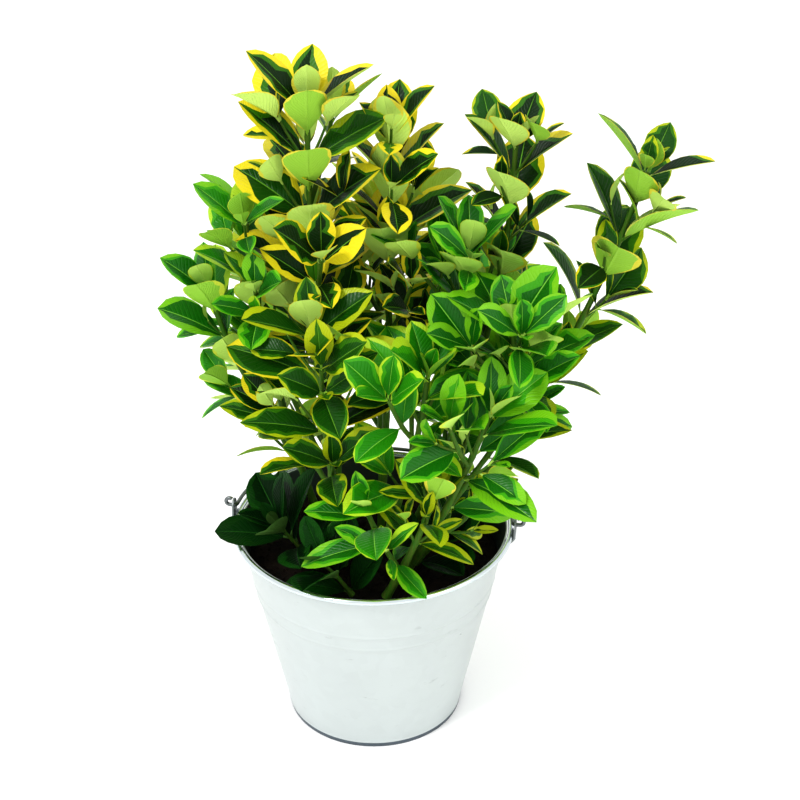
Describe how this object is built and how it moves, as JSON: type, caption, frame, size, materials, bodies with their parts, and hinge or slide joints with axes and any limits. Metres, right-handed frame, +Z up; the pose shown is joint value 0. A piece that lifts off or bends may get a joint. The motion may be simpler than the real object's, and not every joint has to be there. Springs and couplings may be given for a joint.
{
  "type": "potted variegated euonymus",
  "caption": "Variegated evergreen euonymus with upright leafy shoots, potted in a tapered zinc bucket with a swinging wire bail.",
  "frame": {"origin": "centre of the bucket's flat underside, on the ground", "axes": "+Z up, the plant's front as pictured towards -Y, +X to the viewer's right"},
  "size_m": [0.3038, 0.2455, 0.4194],
  "materials": {
    "zinc": "pale galvanised sheet, faintly cloudy, with small scuffs",
    "wire": "dull galvanised wire",
    "soil": "dark moist bark compost",
    "stem": "smooth green young bark",
    "leaf_gold": "glossy dark green leaf with a golden yellow margin, pale matt underside",
    "leaf_lime": "glossy fresh green leaf with a lime margin, pale matt underside",
    "leaf_plain": "glossy plain dark green leaf"
  },
  "bodies": {
    "potted_plant": {"bucket": "zinc", "soil": "soil", "ear_right": "zinc", "ear_left": "zinc", "stem_crest": "stem", "leaves_crest": "leaf_gold", "stem_second": "stem", "leaves_second": "leaf_gold", "stem_third": "stem", "leaves_third": "leaf_gold", "stem_right": "stem", "leaves_right": "leaf_gold", "stem_left": "stem", "leaves_left": "leaf_lime", "stem_centre_left": "stem", "leaves_centre_left": "leaf_gold", "stem_front": "stem", "leaves_front": "leaf_lime", "stem_front_right": "stem", "leaves_front_right": "leaf_lime", "stem_low_gold": "stem", "leaves_low_gold": "leaf_gold", "bough_mid_right": "stem", "leaves_mid_right": "leaf_lime", "bough_far_left": "stem", "leaves_far_left": "leaf_lime", "leaves_mid_top": "leaf_lime", "bough_low_left": "stem", "leaves_low_left": "leaf_gold", "leaves_low_front": "leaf_lime", "bough_out_right": "stem", "leaves_out_right": "leaf_gold", "bough_low_right": "stem", "leaves_low_right": "leaf_gold", "bough_rim_right": "stem", "leaves_rim_right": "leaf_gold", "leaves_behind_right": "leaf_gold", "stem_back_left": "stem", "leaves_back_left": "leaf_gold", "stem_back_centre": "stem", "leaves_back_centre": "leaf_gold", "stem_back_right": "stem", "leaves_back_right": "leaf_lime", "bough_low_back_left": "stem", "leaves_low_back_left": "leaf_lime", "bough_low_back": "stem", "leaves_low_back": "leaf_gold", "bough_low_back_right": "stem", "leaves_low_back_right": "leaf_gold", "bough_side_right": "stem", "leaves_side_right": "leaf_lime", "bough_side_left": "stem", "leaves_side_left": "leaf_gold", "leaves_basal_left": "leaf_plain", "leaves_basal_front": "leaf_plain", "leaves_basal_right": "leaf_plain"},
    "bail": {"bail": "wire"}
  },
  "joints": [
    {"name": "bail_swing", "type": "hinge", "parent": "potted_plant", "child": "bail", "pos_m": [0, 0, 0.1337], "axis": [0.9907, -0.1357, 0], "range_deg": [0, 30]}
  ]
}
